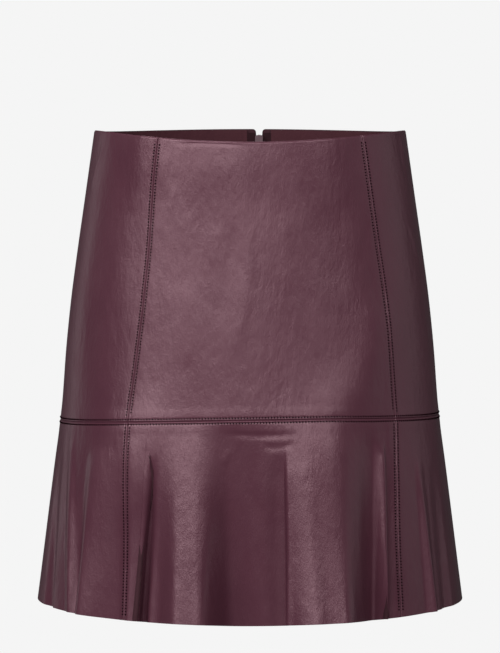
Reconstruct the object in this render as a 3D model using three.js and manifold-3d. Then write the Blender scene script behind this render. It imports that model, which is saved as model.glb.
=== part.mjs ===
// Leather mini skirt: a fitted body of five panels, a flared flounce of five panels below it,
// a facing inside the back waist and a concealed zip at centre back.
// Millimetres and degrees, +Z up, the front faces -Y and the wearer's left is +X.
// The origin is the centre of the waist opening, level with the waist at its sides.
// An angle runs round the skirt from the front, positive towards the wearer's left.
import * as THREE from "three";
import { mergeVertices } from "three/addons/utils/BufferGeometryUtils.js";
import Module from "manifold-3d";

const wasm = await Module();
wasm.setup();

// Leather and seams
const WALL = 1.4;
const SEAM_GAP = 0.3;
const SIDE_SEAM = 92;
const SQUARENESS = 0.08;

// Waist, flounce seam and hem: the height at the sides, and what the middle adds to it
const WAIST = { side: 0, front: -13, back: 4.8 };
const FLOUNCE_SEAM = { side: -258, tilt: 2.4, middle: 5 };
const HEM = { side: -422.4, front: -5.8, back: -3 };

// Grid sizes of the walls
const BODY_ROWS = 10;
const FLOUNCE_ROWS = 8;
const BODY_STEP = 12;
const FLOUNCE_STEP = 6.5;
const LAP_COLUMNS = 10;
const EAR_COLUMNS = 4;

// Zip at centre back
const ZIP = { x: 8.6, length: 200, tapeWidth: 11.4, tapeWall: 1.0, tapeTop: 1.5, setBack: 0.2 };
const NOTCH = { halfWidth: 2.9, depth: 26, earRadius: 3.2 };
const FACING = { height: 34, wall: 1.0, topInset: 0.6 };
const SLIDER_PLACE = { z: -4.9, reach: 6 };
const CHAIN = { width: 3.4, thick: 1.6, top: 7, sections: 12 };

// Sections of the form: half width at the sides, half depth at the front and at the back
const SECTIONS = [
  { z: -460, halfWidth: 197.6, front: 148.0, back: 162 },
  { z: -423, halfWidth: 192.6, front: 144.0, back: 157 },
  { z: -300, halfWidth: 176.8, front: 131.6, back: 141 },
  { z: -258, halfWidth: 171.2, front: 127.2, back: 136 },
  { z: -242, halfWidth: 169.6, front: 125.3, back: 135 },
  { z: -197, halfWidth: 166.2, front: 120.3, back: 133 },
  { z: -152, halfWidth: 161.6, front: 115.7, back: 130 },
  { z: -107, halfWidth: 155.6, front: 111.4, back: 125 },
  { z: -60, halfWidth: 148.8, front: 108.0, back: 117 },
  { z: 0, halfWidth: 140.2, front: 104.6, back: 105 },
  { z: 20, halfWidth: 137.3, front: 103.7, back: 102.5 },
];

// Princess seams: the angle of the wearer's right and left seam by height
const PRINCESS = [
  { z: -440, right: -33.4, left: 42.6 },
  { z: -360, right: -35.1, left: 44.3 },
  { z: -300, right: -36.5, left: 46.4 },
  { z: -253, right: -37.7, left: 48.1 },
  { z: -200, right: -36.3, left: 47.7 },
  { z: -150, right: -35.0, left: 47.3 },
  { z: -100, right: -34.5, left: 46.1 },
  { z: -50, right: -34.7, left: 45.1 },
  { z: 10, right: -33.8, left: 43.8 },
];

// Soft folds of the flounce. A fold runs from its angle at the flounce seam to its angle at
// the hem. It begins at a share of the drop and swells softly over the share ease. Its half
// widths and how far it stands out are in mm at the hem. It grows to the power given.
const FOLDS = [
  // Front, right to left of the wearer
  { seam: -76, hem: -68, start: 0.1, right: 14, left: 10, out: -4, power: 1, ease: 0.1 },
  { seam: -66, hem: -54, start: 0, right: 10, left: 9, out: 5, power: 0.9, ease: 0 },
  { seam: -56, hem: -52, start: 0.1, right: 9, left: 11, out: -2.6, power: 1, ease: 0.1 },
  { seam: -50, hem: -49, start: 0.1, right: 12, left: 36, out: 10, power: 0.9, ease: 0.1 },
  { seam: -35.5, hem: -32.4, start: 0.05, right: 12, left: 9, out: 3.6, power: 0.8, ease: 0.1 },
  { seam: -19.6, hem: -18, start: 0, right: 24, left: 17.2, out: 16, power: 1.15, ease: 0 },
  { seam: -14.2, hem: -12.6, start: 0, right: 17.2, left: 26, out: 16, power: 1.15, ease: 0 },
  { seam: -6.5, hem: -3.8, start: 0, right: 34, left: 50, out: -19, power: 1, ease: 0 },
  { seam: 18.8, hem: 17.6, start: 0, right: 36, left: 17.2, out: 22, power: 1.2, ease: 0 },
  { seam: 24.2, hem: 23, start: 0, right: 17.2, left: 30, out: 23.5, power: 1.2, ease: 0 },
  { seam: 38, hem: 36, start: 0.05, right: 22, left: 5, out: -11, power: 0.9, ease: 0.1 },
  { seam: 57.4, hem: 55.4, start: 0.15, right: 6, left: 10, out: 7, power: 0.9, ease: 0.15 },
  { seam: 67, hem: 65, start: 0.2, right: 13, left: 13, out: -3.5, power: 1, ease: 0.15 },
  // Back, left to right of the wearer
  { seam: 106, hem: 108, start: 0.05, right: 24, left: 26, out: 8, power: 1, ease: 0.1 },
  { seam: 121, hem: 120, start: 0.08, right: 18, left: 20, out: -8, power: 0.9, ease: 0.1 },
  { seam: 134, hem: 137, start: 0, right: 24, left: 20, out: 10, power: 1, ease: 0 },
  { seam: 149, hem: 147.5, start: 0.15, right: 15, left: 16, out: -9, power: 0.8, ease: 0.15 },
  { seam: 163, hem: 163, start: 0, right: 22, left: 28, out: 9, power: 1, ease: 0 },
  { seam: 184, hem: 186, start: 0.1, right: 24, left: 20, out: -8, power: 1, ease: 0.1 },
  { seam: 199, hem: 197, start: 0, right: 20, left: 26, out: 10, power: 0.9, ease: 0 },
  { seam: 214, hem: 212, start: 0.12, right: 16, left: 15, out: -9, power: 0.8, ease: 0.15 },
  { seam: 229, hem: 226, start: 0, right: 26, left: 23, out: 9, power: 1, ease: 0 },
  { seam: 242, hem: 241, start: 0.1, right: 16, left: 20, out: -7.5, power: 1, ease: 0.1 },
  { seam: 254, hem: 253, start: 0.05, right: 23, left: 20, out: 7, power: 1, ease: 0.1 },
];

// Folds that lap over their neighbour: the side in front, the step at the hem, the share of it
// by which the side behind sinks, and the widths over which both sides level out
const LAPS = [
  { seam: -29.4, hem: -30, start: 0.14, frontSide: -1, step: 12, sink: 0.8, fade: 14, backFade: 7,
    power: 0.5, ease: 0.2 },
  { seam: 10.6, hem: 9.4, start: 0.1, frontSide: 1, step: 11, sink: 0.6, fade: 30, backFade: 20,
    power: 0.6, ease: 0.2 },
  { seam: 43, hem: 37.4, start: 0.1, frontSide: -1, step: 9, sink: 0.3, fade: 4, backFade: 10,
    power: 0.6, ease: 0.15 },
];
const LAP = { zone: 7, lipRadius: 2.5, rootRadius: 1.9, turn: 104 };

// What the hem rises by for each mm that the flounce stands out
const HEM_LIFT = 0.15;

const radians = THREE.MathUtils.degToRad;
const clamp = THREE.MathUtils.clamp;
const smooth = (x) => THREE.MathUtils.smoothstep(x, 0, 1);
const mix = THREE.MathUtils.lerp;

// A curve through one column of a table that is sorted by height, with no overshoot.
function tableCurve(rows, column) {
  const z = rows.map((row) => row.z);
  const v = rows.map((row) => row[column]);
  const slope = v.slice(1).map((value, i) => (value - v[i]) / (z[i + 1] - z[i]));
  const tangent = v.map((_, i) => {
    if (i === 0) return slope[0];
    if (i === v.length - 1) return slope[i - 1];
    if (slope[i - 1] * slope[i] <= 0) return 0;
    const before = z[i] - z[i - 1];
    const after = z[i + 1] - z[i];
    const total = 3 * (before + after);
    return total / ((2 * after + before) / slope[i - 1] + (after + 2 * before) / slope[i]);
  });
  return (at) => {
    const x = clamp(at, z[0], z[z.length - 1]);
    let i = 0;
    while (i < z.length - 2 && x > z[i + 1]) i += 1;
    const h = z[i + 1] - z[i];
    const t = (x - z[i]) / h;
    const s = 1 - t;
    return v[i] * (1 + 2 * t) * s * s + h * tangent[i] * t * s * s
      + v[i + 1] * t * t * (3 - 2 * t) - h * tangent[i + 1] * t * t * s;
  };
}

const halfWidth = tableCurve(SECTIONS, "halfWidth");
const frontDepth = tableCurve(SECTIONS, "front");
const backDepth = tableCurve(SECTIONS, "back");
const rightPrincess = tableCurve(PRINCESS, "right");
const leftPrincess = tableCurve(PRINCESS, "left");

// The ring of the form at one height: the point, the outward direction and mm per degree.
function ringAt(angle, z) {
  const s = Math.sin(radians(angle));
  const c = Math.cos(radians(angle));
  const wide = halfWidth(z);
  const deep = c > 0 ? frontDepth(z) : backDepth(z);
  const dx = wide * c;
  const dy = deep * (s + SQUARENESS * s * (s * s - 2 * c * c));
  const speed = Math.hypot(dx, dy);
  return {
    x: wide * s,
    y: -deep * c * (1 + SQUARENESS * s * s),
    outX: dy / speed,
    outY: -dx / speed,
    perDegree: radians(speed),
  };
}

function formPoint(angle, z, out = 0) {
  const ring = ringAt(angle, z);
  return new THREE.Vector3(ring.x + ring.outX * out, ring.y + ring.outY * out, z);
}

function levelHeight(level, angle) {
  const c = Math.cos(radians(angle));
  return level.side + (c > 0 ? level.front : level.back) * c * c;
}

function seamHeight(angle) {
  const s = Math.sin(radians(angle));
  return FLOUNCE_SEAM.side + FLOUNCE_SEAM.tilt * s + FLOUNCE_SEAM.middle * (1 - s * s);
}

const waistHeight = (angle) => levelHeight(WAIST, angle);
const hemHeight = (angle) => levelHeight(HEM, angle);

// How far a fold has grown at a share t of the flounce's drop.
function growth(fold, t) {
  const x = clamp((t - fold.start) / (1 - fold.start), 0, 1);
  return Math.pow(x, fold.power) * (fold.ease > 0 ? smooth(x / fold.ease) : 1);
}

// The part of one turn, from -180 to 180, from one angle to another.
const turnBetween = (from, to) => ((((to - from + 180) % 360) + 360) % 360) - 180;

const hump = (x) => (1 + Math.cos(Math.PI * clamp(x, -1, 1))) / 2;

// A lap at a distance w from its line, positive towards the wearer's left. Its flank is a root
// arc, a straight stretch and a lip arc, walked evenly across a zone of fixed width.
function lapAt(lap, w, t) {
  const g = growth(lap, t);
  const along = w * lap.frontSide;
  const rise = lap.step * g;
  const half = LAP.zone / 2;
  const low = -lap.sink * rise;
  if (g === 0) return { shift: 0, out: 0 };
  if (along <= -half) return { shift: 0, out: low * hump((along + half) / lap.backFade) };
  if (along >= half) return { shift: 0, out: (rise + low) * hump((along - half) / lap.fade) };
  const turn = radians(LAP.turn) * Math.sqrt(g);
  const radii = LAP.lipRadius + LAP.rootRadius;
  const straight = Math.max(0, (rise - radii * (1 - Math.cos(turn))) / Math.sin(turn));
  const pad = (LAP.zone - radii * Math.sin(turn) - straight * Math.cos(turn)) / 2;
  let rest = ((along + half) / LAP.zone) * (2 * pad + radii * turn + straight);
  let x = -half;
  let out = low;
  const take = (length) => {
    const used = Math.min(rest, length);
    rest -= used;
    return used;
  };
  x += take(pad);
  const root = take(LAP.rootRadius * turn) / LAP.rootRadius;
  x += LAP.rootRadius * Math.sin(root);
  out += LAP.rootRadius * (1 - Math.cos(root));
  const flank = take(straight);
  x += flank * Math.cos(turn);
  out += flank * Math.sin(turn);
  const lip = take(LAP.lipRadius * turn) / LAP.lipRadius;
  x += LAP.lipRadius * (Math.sin(turn) - Math.sin(turn - lip));
  out += LAP.lipRadius * (Math.cos(turn - lip) - Math.cos(turn));
  x += take(pad);
  return { shift: (x - along) * lap.frontSide, out };
}

const trackAngle = (fold, t) => mix(fold.seam, fold.hem, t);

// A point of the flounce's outer face at an angle and a share t of its drop.
function flouncePoint(angle, t) {
  const z = mix(seamHeight(angle) - SEAM_GAP / 2, hemHeight(angle), t);
  const perDegree = ringAt(angle, z).perDegree;
  let out = 0;
  let shift = 0;
  for (const fold of FOLDS) {
    const w = turnBetween(trackAngle(fold, t), angle) * perDegree;
    const width = w < 0 ? fold.right : fold.left;
    out += fold.out * growth(fold, t) * hump(w / width);
  }
  for (const lap of LAPS) {
    const step = lapAt(lap, turnBetween(trackAngle(lap, t), angle) * perDegree, t);
    out += step.out;
    shift += step.shift;
  }
  return formPoint(angle + shift / perDegree, z + HEM_LIFT * out * t, out);
}

// A point of the body's outer face at an angle and a share t of the way down to the seam.
function bodyPoint(angle, t, top = waistHeight(angle)) {
  return formPoint(angle, mix(top, seamHeight(angle) + SEAM_GAP / 2, t));
}

// The point moved inwards from a face by a depth, along the face's own normal.
function inside(face, angle, t, depth) {
  const du = 0.02;
  const dt = 0.001;
  const across = face(angle + du, t).sub(face(angle - du, t));
  const down = face(angle, Math.min(1, t + dt)).sub(face(angle, Math.max(0, t - dt)));
  const normal = down.cross(across).normalize();
  return face(angle, t).addScaledVector(normal, -depth);
}

// A closed wall between two grids of points, rows[j][i], the first one outside.
function wallBetween(outer, inner) {
  const rows = outer.length;
  const columns = outer[0].length;
  const positions = [...outer, ...inner].flat().flatMap((p) => [p.x, p.y, p.z]);
  const at = (layer, j, i) => layer * rows * columns + j * columns + i;
  const indices = [];
  const quad = (a, b, c, d) => indices.push(a, b, c, a, c, d);
  for (let j = 0; j < rows - 1; j += 1) {
    for (let i = 0; i < columns - 1; i += 1) {
      quad(at(0, j, i), at(0, j + 1, i), at(0, j + 1, i + 1), at(0, j, i + 1));
      quad(at(1, j, i), at(1, j, i + 1), at(1, j + 1, i + 1), at(1, j + 1, i));
    }
  }
  const last = { row: rows - 1, column: columns - 1 };
  for (let i = 0; i < last.column; i += 1) {
    quad(at(0, 0, i), at(0, 0, i + 1), at(1, 0, i + 1), at(1, 0, i));
    quad(at(0, last.row, i + 1), at(0, last.row, i), at(1, last.row, i), at(1, last.row, i + 1));
  }
  for (let j = 0; j < last.row; j += 1) {
    quad(at(0, j + 1, 0), at(0, j, 0), at(1, j, 0), at(1, j + 1, 0));
    quad(at(0, j, last.column), at(0, j + 1, last.column),
      at(1, j + 1, last.column), at(1, j, last.column));
  }
  const geometry = new THREE.BufferGeometry();
  geometry.setAttribute("position", new THREE.Float32BufferAttribute(positions, 3));
  geometry.setIndex(indices);
  geometry.computeVertexNormals();
  return geometry;
}

// A wall over a face. tracks are angles as functions of t, counts the columns between them.
function panelWall({ face, tracks, counts, rows, from = 0, to = WALL }) {
  const outer = [];
  const inner = [];
  for (let j = 0; j <= rows; j += 1) {
    const t = j / rows;
    const angles = [];
    counts.forEach((count, k) => {
      for (let i = 0; i < count; i += 1) {
        angles.push(mix(tracks[k](t), tracks[k + 1](t), i / count));
      }
    });
    angles.push(tracks[tracks.length - 1](t));
    outer.push(angles.map((angle) => (from ? inside(face, angle, t, from) : face(angle, t))));
    inner.push(angles.map((angle) => inside(face, angle, t, to)));
  }
  return wallBetween(outer, inner);
}

// Edges of the panels as angles by height, before the seam gap is taken off.
const edges = {
  rightSide: () => -SIDE_SEAM,
  rightPrincess,
  leftPrincess,
  leftSide: () => SIDE_SEAM,
  back: (z) => 180 - THREE.MathUtils.radToDeg(Math.asin(ZIP.x / halfWidth(z))),
};
edges.backFromRight = (z) => edges.back(z) - 360;

// An edge moved by a distance in mm along its ring.
const moved = (edge, z, distance) => edge(z) + distance / ringAt(edge(z), z).perDegree;

const flounceMiddle = (t) => mix(FLOUNCE_SEAM.side, HEM.side, t);
const bodyMiddle = (t) => mix(WAIST.side, FLOUNCE_SEAM.side, t);

function countBetween(a, b, z, step) {
  return Math.max(2, Math.round((Math.abs(b - a) * ringAt((a + b) / 2, z).perDegree) / step));
}

function flouncePanel(fromEdge, toEdge) {
  const first = (t) => moved(fromEdge, flounceMiddle(t), SEAM_GAP / 2);
  const last = (t) => moved(toEdge, flounceMiddle(t), -SEAM_GAP / 2);
  const tracks = [first];
  const zones = [];
  for (const lap of LAPS) {
    if (lap.hem < first(1) || lap.hem > last(1)) continue;
    const bound = (side) => (t) => {
      const angle = trackAngle(lap, t);
      return angle + (side * LAP.zone) / 2 / ringAt(angle, flounceMiddle(t)).perDegree;
    };
    zones.push(tracks.length);
    tracks.push(bound(-1), bound(1));
  }
  tracks.push(last);
  const counts = tracks.slice(1).map((track, k) => (zones.includes(k)
    ? LAP_COLUMNS
    : countBetween(tracks[k](1), track(1), HEM.side, FLOUNCE_STEP)));
  return panelWall({ face: flouncePoint, tracks, counts, rows: FLOUNCE_ROWS });
}

function frontPanel(fromEdge, toEdge) {
  const first = (t) => moved(fromEdge, bodyMiddle(t), SEAM_GAP / 2);
  const last = (t) => moved(toEdge, bodyMiddle(t), -SEAM_GAP / 2);
  const counts = [countBetween(first(1), last(1), FLOUNCE_SEAM.side, BODY_STEP)];
  return panelWall({ face: bodyPoint, tracks: [first, last], counts, rows: BODY_ROWS });
}

// Half of the opening between the back edges, widest in the notch above the zip.
function splay(z) {
  const down = clamp((WAIST.back - z) / NOTCH.depth, 0, 1);
  return SEAM_GAP / 2 + NOTCH.halfWidth * (1 - smooth(down));
}

// The back edges' top corners are rounded: how far the top drops at a distance from the edge.
function earDrop(distance) {
  const inset = clamp(NOTCH.earRadius - distance, 0, NOTCH.earRadius);
  return NOTCH.earRadius - Math.sqrt(NOTCH.earRadius ** 2 - inset ** 2);
}

// side is 1 for the wearer's left back panel and -1 for the right one.
function backPanel(side) {
  const seam = side > 0 ? edges.leftSide : edges.rightSide;
  const centre = side > 0 ? edges.back : edges.backFromRight;
  const sideTrack = (t) => moved(seam, bodyMiddle(t), (side * SEAM_GAP) / 2);
  const zipTrack = (t) => {
    const z = mix(WAIST.back, FLOUNCE_SEAM.side, t);
    return moved(centre, z, -side * splay(z));
  };
  const earTrack = (t) => zipTrack(t) - (side * NOTCH.earRadius) / ringAt(zipTrack(t), 0).perDegree;
  const face = (angle, t) => {
    const distance = Math.abs(zipTrack(t) - angle) * ringAt(angle, WAIST.back).perDegree;
    return bodyPoint(angle, t, waistHeight(angle) - earDrop(distance) * (1 - t));
  };
  const wide = countBetween(sideTrack(1), earTrack(1), FLOUNCE_SEAM.side, BODY_STEP);
  const along = [sideTrack, earTrack, zipTrack];
  const counts = [wide, EAR_COLUMNS];
  const tracks = side > 0 ? along : along.reverse();
  return panelWall({ face, tracks, counts: side > 0 ? counts : counts.reverse(), rows: BODY_ROWS });
}

// A strip that lies inside the back panels, between two distances from centre back.
function innerStrip({ side, near, far, top, bottom, wall, columns, rows }) {
  const centre = side > 0 ? edges.back : edges.backFromRight;
  const start = WALL + SEAM_GAP;
  const face = (angle, t) => formPoint(angle, mix(top(angle), bottom, t));
  const nearTrack = (t) => {
    const z = mix(WAIST.back, bottom, t);
    return moved(centre, z, -side * near(z));
  };
  const tracks = side > 0 ? [far, nearTrack] : [nearTrack, far];
  return panelWall({ face, tracks, counts: [columns], rows, from: start, to: start + wall });
}

function facingStrip(side) {
  const seam = side > 0 ? edges.leftSide : edges.rightSide;
  return innerStrip({
    side,
    near: () => ZIP.tapeWidth + SEAM_GAP,
    far: (t) => moved(seam, mix(0, -FACING.height, t), (side * SEAM_GAP) / 2),
    top: (angle) => waistHeight(angle) - FACING.topInset,
    bottom: WAIST.back - FACING.height,
    wall: FACING.wall,
    columns: 20,
    rows: 3,
  });
}

function tapeStrip(side) {
  const centre = side > 0 ? edges.back : edges.backFromRight;
  const bottom = WAIST.back - ZIP.length;
  return innerStrip({
    side,
    near: (z) => splay(z) + ZIP.setBack,
    far: (t) => moved(centre, mix(WAIST.back, bottom, t), -side * ZIP.tapeWidth),
    top: () => ZIP.tapeTop,
    bottom,
    wall: ZIP.tapeWall,
    columns: 3,
    rows: 10,
  });
}

// The zip's own frame: x across, y outwards from the leather's outer face, z up along it.
const zipFrame = (() => {
  const angle = edges.back(SLIDER_PLACE.z);
  const ring = ringAt(angle, SLIDER_PLACE.z);
  const out = new THREE.Vector3(ring.outX, ring.outY, 0);
  const above = formPoint(angle, SLIDER_PLACE.z + SLIDER_PLACE.reach);
  const below = formPoint(angle, SLIDER_PLACE.z - SLIDER_PLACE.reach);
  const up = above.sub(below).normalize();
  const across = new THREE.Vector3().crossVectors(out, up).normalize();
  out.crossVectors(up, across);
  const matrix = new THREE.Matrix4().makeBasis(across, out, up);
  return matrix.setPosition(formPoint(angle, SLIDER_PLACE.z));
})();

function toManifold(geometry) {
  const bare = geometry.clone();
  bare.deleteAttribute("normal");
  bare.deleteAttribute("uv");
  const merged = mergeVertices(bare, 1e-4);
  return new wasm.Manifold(new wasm.Mesh({
    numProp: 3,
    vertProperties: new Float32Array(merged.attributes.position.array),
    triVerts: new Uint32Array(merged.index.array),
  }));
}

function fromManifold(solid) {
  const mesh = solid.getMesh();
  const geometry = new THREE.BufferGeometry();
  geometry.setAttribute("position", new THREE.BufferAttribute(new Float32Array(mesh.vertProperties), 3));
  geometry.setIndex(new THREE.BufferAttribute(new Uint32Array(mesh.triVerts), 1));
  geometry.computeVertexNormals();
  return geometry;
}

const block = (x0, x1, y0, y1, z0, z1) => new THREE.BoxGeometry(x1 - x0, y1 - y0, z1 - z0)
  .translate((x0 + x1) / 2, (y0 + y1) / 2, (z0 + z1) / 2);

// A flat plate with a rounded outline in x and z, between two levels of y.
function plate(shape, y0, y1, segments = 6) {
  const settings = { depth: y1 - y0, bevelEnabled: false, curveSegments: segments };
  return new THREE.ExtrudeGeometry(shape, settings).rotateX(Math.PI / 2).translate(0, y1, 0);
}

// Levels of the zip's layers, outwards from the leather's outer face
const LAYERS = {
  tapeInside: -(WALL + SEAM_GAP + ZIP.tapeWall),
  chainOutside: -(WALL + 2 * SEAM_GAP + ZIP.tapeWall),
};
LAYERS.chainInside = LAYERS.chainOutside - CHAIN.thick;
LAYERS.slider = LAYERS.chainInside - SEAM_GAP;

const SLIDER = {
  halfWidth: 3.6, nose: 2.6, top: 4.6, bottom: -5.4, corner: 2, plate: 1.2, flange: 1.2, bite: 0.2,
  post: { halfWidth: 0.8, top: 4.2, bottom: 1.6 },
  outerPlate: { halfWidth: 1.5, near: 0.5, far: 1.25, bottom: -4.4 },
  bridge: { halfWidth: 0.8, top: 3.6, bottom: -2.6, far: 3.9, bar: 1.0, foot: 1.1 },
};
const PULL = {
  pivot: { y: 2.05, z: 1.1 }, bar: 0.45, armInside: 1.3, armOutside: 2.3, eye: 4.2, length: 21,
  halfWidth: 3.3, thick: 0.9, swing: 150,
};

// The teeth of both sides, meshed below the slider, as one narrow strip.
function chainStrip() {
  const face = (angle, t) => formPoint(angle, mix(-CHAIN.top, WAIST.back - ZIP.length, t));
  const heightAt = (t) => mix(-CHAIN.top, WAIST.back - ZIP.length, t);
  const track = (side) => (t) => moved(edges.back, heightAt(t), (side * CHAIN.width) / 2);
  return panelWall({
    face,
    tracks: [track(-1), track(1)],
    counts: [2],
    rows: CHAIN.sections,
    from: -LAYERS.chainOutside,
    to: -LAYERS.chainInside,
  });
}

// Slider: an inner plate with two flanges round the teeth, a post between the leather's
// edges, and an outer plate with the bridge that carries the pull.
function sliderSolid() {
  const s = SLIDER;
  const outline = new THREE.Shape();
  outline.moveTo(-s.nose, s.bottom);
  outline.lineTo(s.nose, s.bottom);
  outline.quadraticCurveTo(s.halfWidth, s.bottom + s.corner, s.halfWidth, 0);
  outline.lineTo(s.halfWidth, s.top - s.corner);
  outline.quadraticCurveTo(s.halfWidth, s.top, s.halfWidth - s.corner, s.top);
  outline.lineTo(-s.halfWidth + s.corner, s.top);
  outline.quadraticCurveTo(-s.halfWidth, s.top, -s.halfWidth, s.top - s.corner);
  outline.lineTo(-s.halfWidth, 0);
  outline.quadraticCurveTo(-s.halfWidth, s.bottom + s.corner, -s.nose, s.bottom);
  const back = LAYERS.slider - s.plate;
  const body = toManifold(plate(outline, back, LAYERS.chainOutside));
  const channel = s.halfWidth - s.flange;
  const cut = toManifold(block(-channel, channel, LAYERS.slider, 0, s.bottom - 1, s.top + 1));
  const post = toManifold(block(-s.post.halfWidth, s.post.halfWidth, LAYERS.slider - s.bite,
    s.outerPlate.far, s.post.bottom, s.post.top));
  const outer = toManifold(block(-s.outerPlate.halfWidth, s.outerPlate.halfWidth,
    s.outerPlate.near, s.outerPlate.far, s.outerPlate.bottom, s.post.top));
  const b = s.bridge;
  const arch = toManifold(block(-b.halfWidth, b.halfWidth, s.outerPlate.far - s.bite, b.far,
    b.bottom, b.top));
  const eye = toManifold(block(-b.halfWidth - 1, b.halfWidth + 1, s.outerPlate.far,
    b.far - b.bar, b.bottom + b.foot, b.top - b.foot));
  const solid = body.subtract(cut).add(post).add(outer).add(arch.subtract(eye));
  return fromManifold(solid);
}

// Pull: a teardrop tab with a square eye round the slider's bridge.
function pullSolid() {
  const p = PULL;
  const outline = new THREE.Shape();
  const shoulder = -p.eye - 1;
  const end = -p.length;
  outline.moveTo(-p.armOutside, p.bar);
  outline.lineTo(-p.armOutside, shoulder);
  outline.quadraticCurveTo(-p.halfWidth, (shoulder + end) / 2, -p.halfWidth, end + p.halfWidth);
  outline.absarc(0, end + p.halfWidth, p.halfWidth, Math.PI, 2 * Math.PI, false);
  outline.quadraticCurveTo(p.halfWidth, (shoulder + end) / 2, p.armOutside, shoulder);
  outline.lineTo(p.armOutside, p.bar);
  outline.lineTo(-p.armOutside, p.bar);
  const hole = new THREE.Path();
  hole.moveTo(-p.armInside, -p.bar);
  hole.lineTo(p.armInside, -p.bar);
  hole.lineTo(p.armInside, -p.eye);
  hole.lineTo(-p.armInside, -p.eye);
  hole.lineTo(-p.armInside, -p.bar);
  outline.holes.push(hole);
  return plate(outline, -p.thick / 2, p.thick / 2, 10);
}

const leather = { color: 0x5c3e48, roughness: 0.42, metalness: 0 };
const fleshSide = { color: 0x3f2830, roughness: 0.85, metalness: 0 };
const tapeFabric = { color: 0x3a2830, roughness: 0.9, metalness: 0 };
const zipParts = { color: 0x6b5158, roughness: 0.35, metalness: 0.4 };

const skirt = new THREE.Group();

function addPiece(name, geometry, finish, matrix) {
  const mesh = new THREE.Mesh(geometry, new THREE.MeshStandardMaterial(finish));
  mesh.name = name;
  if (matrix) mesh.applyMatrix4(matrix);
  skirt.add(mesh);
}

addPiece("front_centre", frontPanel(edges.rightPrincess, edges.leftPrincess), leather);
addPiece("front_side_right", frontPanel(edges.rightSide, edges.rightPrincess), leather);
addPiece("front_side_left", frontPanel(edges.leftPrincess, edges.leftSide), leather);
addPiece("back_left", backPanel(1), leather);
addPiece("back_right", backPanel(-1), leather);
addPiece("flounce_front_centre", flouncePanel(edges.rightPrincess, edges.leftPrincess), leather);
addPiece("flounce_front_side_right", flouncePanel(edges.rightSide, edges.rightPrincess), leather);
addPiece("flounce_front_side_left", flouncePanel(edges.leftPrincess, edges.leftSide), leather);
addPiece("flounce_back_left", flouncePanel(edges.leftSide, edges.back), leather);
addPiece("flounce_back_right", flouncePanel(edges.backFromRight, edges.rightSide), leather);
addPiece("back_facing_left", facingStrip(1), fleshSide);
addPiece("back_facing_right", facingStrip(-1), fleshSide);
addPiece("zip_tape_left", tapeStrip(1), tapeFabric);
addPiece("zip_tape_right", tapeStrip(-1), tapeFabric);
addPiece("zip_chain", chainStrip(), zipParts);
addPiece("zip_slider", sliderSolid(), zipParts, zipFrame);

const pullPlace = zipFrame.clone()
  .multiply(new THREE.Matrix4().makeTranslation(0, PULL.pivot.y, PULL.pivot.z));
addPiece("zip_pull", pullSolid(), zipParts, pullPlace);

export default skirt;
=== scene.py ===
"""A short leather skirt with a flared flounce, in its worn, hollow form.

The form, its panels and folds are worked out in millimetres and degrees, as the solids are,
and every mesh is made in metres. An angle runs round the skirt from the front, positive
towards the wearer's left (+X). The front faces -Y and +Z is up.
"""
import math

import bmesh
import bpy
import numpy as np
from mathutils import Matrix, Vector


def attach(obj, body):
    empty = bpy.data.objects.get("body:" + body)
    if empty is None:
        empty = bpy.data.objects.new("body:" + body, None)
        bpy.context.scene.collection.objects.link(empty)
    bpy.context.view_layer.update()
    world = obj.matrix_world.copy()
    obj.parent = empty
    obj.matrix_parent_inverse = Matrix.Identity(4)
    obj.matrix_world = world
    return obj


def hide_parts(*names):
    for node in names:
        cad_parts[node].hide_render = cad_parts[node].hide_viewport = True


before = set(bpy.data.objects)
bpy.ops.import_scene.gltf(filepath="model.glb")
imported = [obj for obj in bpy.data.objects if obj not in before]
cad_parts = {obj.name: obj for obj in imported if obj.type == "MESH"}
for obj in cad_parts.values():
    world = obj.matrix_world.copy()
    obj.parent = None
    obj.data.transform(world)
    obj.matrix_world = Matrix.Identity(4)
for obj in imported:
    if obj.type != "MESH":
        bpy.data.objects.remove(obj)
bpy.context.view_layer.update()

MM = 0.001

# Leather and seams: wall, gap, angle of the side seams, and how square the form's ring is
WALL = 1.2
SEAM_GAP = 0.01
SIDE_SEAM = 92
SQUARENESS = 0.08

# The length of a panel for each mm of its height, and the deepest that a relief may go
SLANT = 1.01
DEEPEST_RELIEF = -1.0

# Waist, flounce seam and hem: the height at the sides, and what the middle adds to it
WAIST = dict(side=0, front=-13, back=4.8)
FLOUNCE_SEAM = dict(side=-258, tilt=2.4, middle=5)
HEM = dict(side=-422.4, front=-5.8, back=-3)

# Zip at centre back
ZIP = dict(x=8.6, length=200, tape_width=11.4, tape_top=1.5, set_back=0.2)
NOTCH = dict(half_width=2.9, depth=26, ear_radius=3.2, ear_fade=12)
FACING = dict(height=34, top_inset=0.6)
COIL = dict(top=7, pitch=1.25, radius=0.3, near=-3.3, far=-4.3, reach=0.5, edge=1.55,
            drop=0.25, bend_drop=0.12)
# How deep the zip's tapes and the facings lie behind the outer face, and how thick they are
INSIDE = dict(depth=1.8, tape=0.6, facing=0.8)
# The metal parts: points closer than weld (in metres) join, faces within flat degrees merge,
# and edges sharper than sharp degrees are rounded
METAL = dict(weld=1e-6, flat=3, sharp=32, segments=2, slider=0.18, pull=0.22)


def rows(names, *values):
    """A table as a dict of arrays, one for each named column."""
    table = np.array(values, float)
    return {name: table[:, i] for i, name in enumerate(names.split())}


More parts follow.
